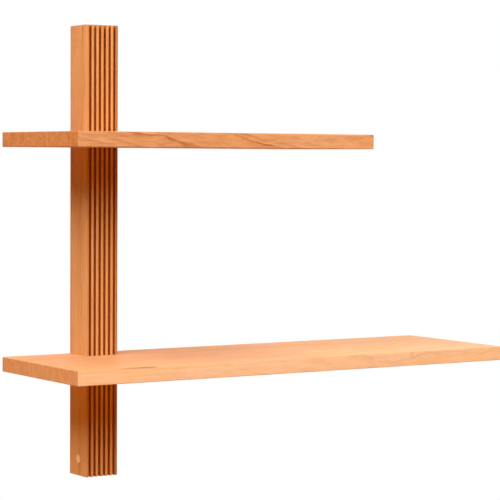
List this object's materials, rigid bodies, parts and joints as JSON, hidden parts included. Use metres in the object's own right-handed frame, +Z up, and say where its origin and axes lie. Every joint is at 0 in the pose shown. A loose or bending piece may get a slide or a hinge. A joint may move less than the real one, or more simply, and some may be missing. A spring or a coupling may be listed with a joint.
{
  "type": "wall-hung spine bookshelf",
  "caption": "Wall-hung bookshelf: a fluted wooden spine carries cantilevered boards of unequal length in housed and bolted joints, and hangs on hidden steel clips with a locking screw.",
  "frame": {"origin": "on the wall, at the middle of the post's back face", "axes": "+X along the boards to the right as seen from the room, +Y into the wall, +Z up; the object reaches from y = 0 to negative y"},
  "size_m": [0.9, 0.28, 0.8],
  "materials": {
    "spine_oak": "oiled oak, grain upright",
    "board_oak": "oiled oak, grain along the board",
    "plug_wood": "pale oiled hardwood plug",
    "zinc_plated_steel": "bright zinc plate",
    "galvanised_steel": "galvanised sheet steel",
    "brass": "turned brass"
  },
  "bodies": {
    "root": {"spine_post": "spine_oak", "upper_shelf": "board_oak", "lower_shelf": "board_oak", "screw_plug": "plug_wood", "upper_left_bolt": "zinc_plated_steel", "upper_left_washer": "zinc_plated_steel", "upper_left_insert": "brass", "upper_right_bolt": "zinc_plated_steel", "upper_right_washer": "zinc_plated_steel", "upper_right_insert": "brass", "lower_left_bolt": "zinc_plated_steel", "lower_left_washer": "zinc_plated_steel", "lower_left_insert": "brass", "lower_right_bolt": "zinc_plated_steel", "lower_right_washer": "zinc_plated_steel", "lower_right_insert": "brass", "wall_clip": "galvanised_steel", "spine_clip": "galvanised_steel", "lower_wall_bracket": "galvanised_steel", "left_clip_screw": "zinc_plated_steel", "right_clip_screw": "zinc_plated_steel", "locking_screw": "zinc_plated_steel"}
  },
  "joints": []
}
